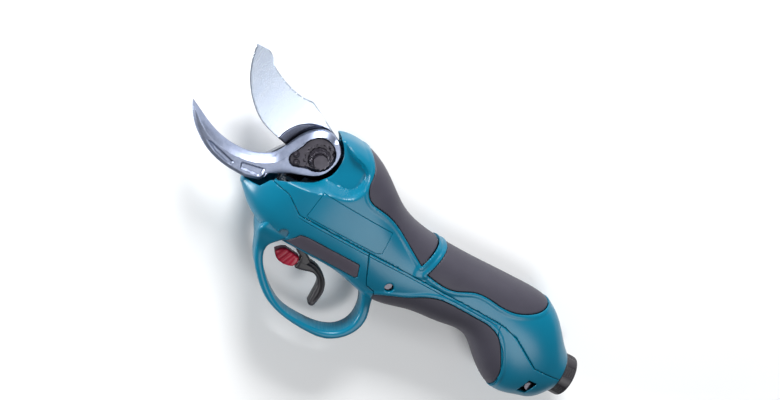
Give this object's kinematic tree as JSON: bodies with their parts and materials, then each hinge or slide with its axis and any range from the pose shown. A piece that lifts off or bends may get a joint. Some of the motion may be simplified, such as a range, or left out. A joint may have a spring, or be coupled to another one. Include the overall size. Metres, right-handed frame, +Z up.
{
  "type": "battery electric pruner",
  "caption": "Handheld electric pruner: hooked fixed blade, swinging blade driven by a ball screw in the head, finger trigger inside a loop guard, rubber grips and a round supply inlet.",
  "frame": {"origin": "middle of the bottom of the bounding box, the tool lying on its far side", "axes": "+X along the handle from the blades to the connector, +Y towards the back of the hand, +Z up towards the side with the blade nut"},
  "size_m": [0.306, 0.1438, 0.0466],
  "materials": {
    "teal_plastic": "moulded glass-filled nylon, satin",
    "grip_rubber": "soft over-moulded rubber, fine grain",
    "label_film": "matt printed film, left blank",
    "blade_steel": "ground and polished blade steel",
    "forged_steel": "forged and satin plated steel",
    "bronze": "sintered bronze",
    "pin_steel": "ground steel",
    "black_steel": "black oxide steel",
    "cast_aluminium": "die-cast aluminium",
    "gear_steel": "hardened gear steel",
    "zinc_steel": "zinc plated steel",
    "copper": "enamelled copper winding",
    "magnet": "nickel plated magnet",
    "black_nylon": "moulded black nylon",
    "red_plastic": "moulded red nylon",
    "board": "glass-epoxy circuit board",
    "capacitor_sleeve": "shrink-sleeved can",
    "brass": "turned brass",
    "seal_rubber": "nitrile rubber"
  },
  "bodies": {
    "body": {"upper_casing": "teal_plastic", "guard_casing": "teal_plastic", "lower_casing": "teal_plastic", "label_panel": "label_film", "front_grip_pad": "grip_rubber", "rear_grip_pad": "grip_rubber", "lower_grip_pad": "grip_rubber", "counter_blade": "forged_steel", "pivot_bolt": "black_steel", "pivot_nut": "black_steel", "lock_plate": "black_steel", "lock_plate_screws": "black_steel", "gear_case": "cast_aluminium", "frame_screw": "black_steel", "ring_gear": "gear_steel", "screw_bearing": "pin_steel", "bearing_circlip": "pin_steel", "motor_adapter": "cast_aluminium", "motor_can": "zinc_steel", "motor_bearings": "pin_steel", "motor_end_cap": "cast_aluminium", "stator_core": "zinc_steel", "stator_coils": "copper", "trigger_pin": "pin_steel", "position_sensor": "black_nylon", "drive_board": "board", "power_transistors": "black_nylon", "capacitors": "capacitor_sleeve", "connector_inlet": "black_nylon", "contact_pins": "brass", "inlet_gasket": "seal_rubber", "casing_screws": "black_steel"},
    "screw": {"drive_screw": "pin_steel", "planet_carrier": "pin_steel", "planet_pins": "pin_steel"},
    "blade": {"moving_blade": "blade_steel", "blade_bush": "bronze", "yoke_pin": "pin_steel"},
    "crosshead": {"crosshead": "pin_steel", "ball_nut": "pin_steel"},
    "rotor": {"rotor_shaft": "pin_steel", "rotor_magnets": "magnet", "sun_gear": "gear_steel"},
    "planet_1": {"planet_gear_1": "gear_steel"},
    "planet_2": {"planet_gear_2": "gear_steel"},
    "planet_3": {"planet_gear_3": "gear_steel"},
    "trigger": {"trigger": "black_nylon", "trigger_magnet": "magnet", "trigger_spring": "pin_steel", "lock_lever_pin": "black_steel"},
    "lock_lever": {"lock_lever": "red_plastic"},
    "collar": {"connector_collar": "black_nylon"}
  },
  "joints": [
    {"name": "blade_swing", "type": "hinge", "parent": "body", "child": "blade", "pos_m": [-0.06835, 0.0294, 0.023], "axis": [0, 0, 1], "range_deg": [0, 38]},
    {"name": "screw_spin", "type": "hinge", "parent": "body", "child": "screw", "pos_m": [-0.08549, -0.0083, 0.023], "axis": [1, 0, 0], "range_deg": [0, 1465.26]},
    {"name": "crosshead_slide", "type": "slide", "parent": "body", "child": "crosshead", "axis": [1, 0, 0], "range_m": [0, 0.01628]},
    {"name": "rotor_spin", "type": "hinge", "parent": "body", "child": "rotor", "pos_m": [-0.03261, -0.0083, 0.023], "axis": [1, 0, 0], "range_deg": [0, 5861.03]},
    {"name": "planet_spin_1", "type": "hinge", "parent": "screw", "child": "planet_1", "pos_m": [-0.03261, -0.0083, 0.0308], "axis": [1, 0, 0], "range_deg": [-4395.77, 0]},
    {"name": "planet_spin_2", "type": "hinge", "parent": "screw", "child": "planet_2", "pos_m": [-0.03261, -0.01506, 0.0191], "axis": [1, 0, 0], "range_deg": [-4395.77, 0]},
    {"name": "planet_spin_3", "type": "hinge", "parent": "screw", "child": "planet_3", "pos_m": [-0.03261, -0.00155, 0.0191], "axis": [1, 0, 0], "range_deg": [-4395.77, 0]},
    {"name": "trigger_pull", "type": "hinge", "parent": "body", "child": "trigger", "pos_m": [-0.05135, -0.0231, 0.023], "axis": [0, 0, 1], "range_deg": [0, 9], "stiffness_Nm_per_rad": 0.25, "springref_deg": -8.59},
    {"name": "lock_lever_swing", "type": "hinge", "parent": "trigger", "child": "lock_lever", "pos_m": [-0.04385, -0.0352, 0.023], "axis": [0, 0, 1], "range_deg": [0, 12]},
    {"name": "collar_turn", "type": "hinge", "parent": "body", "child": "collar", "pos_m": [0.14395, -0.021, 0.023], "axis": [1, 0, 0], "range_deg": [0, 60]}
  ],
  "couplings": [
    {"joint": "screw_spin", "follows": "blade_swing", "ratio": 38.554},
    {"joint": "crosshead_slide", "follows": "blade_swing", "m_per_rad": 0.024544},
    {"joint": "rotor_spin", "follows": "blade_swing", "ratio": 154.22},
    {"joint": "planet_spin_1", "follows": "blade_swing", "ratio": -115.66},
    {"joint": "planet_spin_2", "follows": "blade_swing", "ratio": -115.66},
    {"joint": "planet_spin_3", "follows": "blade_swing", "ratio": -115.66}
  ]
}
